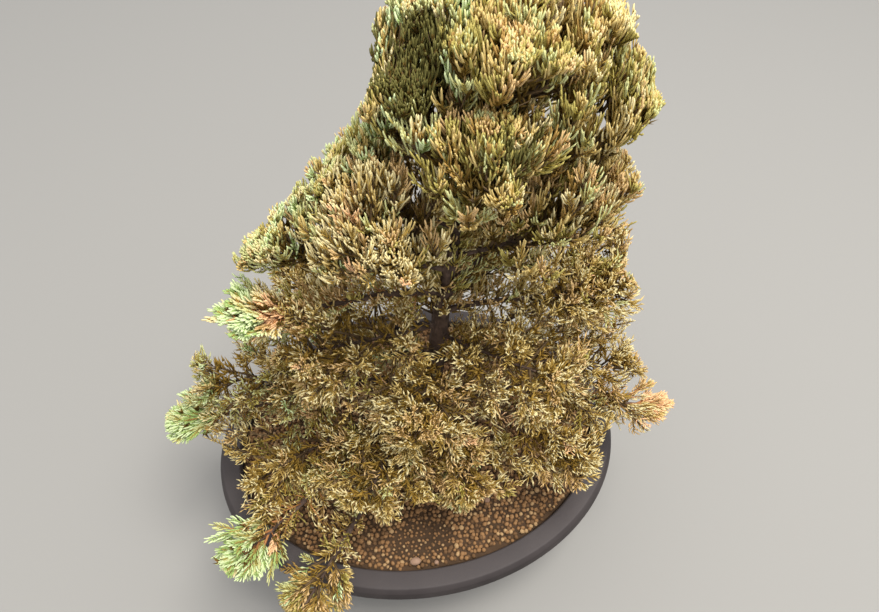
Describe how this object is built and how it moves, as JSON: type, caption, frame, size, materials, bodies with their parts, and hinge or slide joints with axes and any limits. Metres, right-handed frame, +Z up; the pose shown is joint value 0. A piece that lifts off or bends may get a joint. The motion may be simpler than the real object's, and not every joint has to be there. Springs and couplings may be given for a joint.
{
  "type": "potted juniper",
  "caption": "Juniper grown as a small conical tree, with dense tan and grey-green foliage, in a wide shallow oval training pot of matte plastic filled with grain soil.",
  "frame": {"origin": "middle of the pot's flat underside", "axes": "+X along the pot's long axis, to the right as the picture shows it; +Y away from the viewer; +Z up"},
  "size_m": [0.4528, 0.3399, 0.5801],
  "materials": {
    "pot_plastic": "matte",
    "soil_grains": "matte",
    "bark": "matte",
    "foliage": "matte",
    "young_foliage": "matte"
  },
  "bodies": {
    "root": {"pot": "pot_plastic", "soil": "soil_grains", "trunk": "bark", "foliage_top": "foliage", "foliage_upper_left": "foliage", "foliage_upper_front": "foliage", "foliage_upper_right": "foliage", "foliage_upper_back": "foliage", "bough_right_shoulder": "bark", "foliage_right_shoulder": "foliage", "bough_front_collar": "bark", "foliage_front_collar": "foliage", "foliage_left_shoulder": "foliage", "foliage_left_high": "foliage", "bough_left_middle": "bark", "foliage_left_middle": "foliage", "bough_left_long_shoot": "bark", "foliage_left_long_shoot": "young_foliage", "foliage_left_inner": "foliage", "foliage_right_middle": "foliage", "bough_right_brown_tuft": "bark", "foliage_right_brown_tuft": "foliage", "foliage_back_middle": "foliage", "foliage_back_left": "foliage", "bough_back_right": "bark", "foliage_back_right": "foliage", "foliage_back_inner": "foliage", "foliage_front_middle_left": "foliage", "foliage_front_middle": "foliage", "foliage_front_middle_right": "foliage", "bough_front_lower_left": "bark", "foliage_front_lower_left": "foliage", "foliage_front_lower": "foliage", "bough_front_lower_right": "bark", "foliage_front_lower_right": "foliage", "bough_right_lower": "bark", "foliage_right_lower": "foliage", "bough_orange_shoot": "bark", "foliage_orange_shoot": "young_foliage", "bough_left_lower": "bark", "foliage_left_lower": "foliage", "bough_left_green_tip": "bark", "foliage_left_green_tip": "young_foliage", "bough_front_left_low": "bark", "foliage_front_left_low": "foliage", "bough_green_shoot": "bark", "foliage_green_shoot": "young_foliage", "bough_hanging_front": "bark", "foliage_hanging_front": "young_foliage", "foliage_back_lower_left": "foliage", "foliage_back_lower": "foliage", "bough_back_lower_right": "bark", "foliage_back_lower_right": "foliage"}
  },
  "joints": []
}
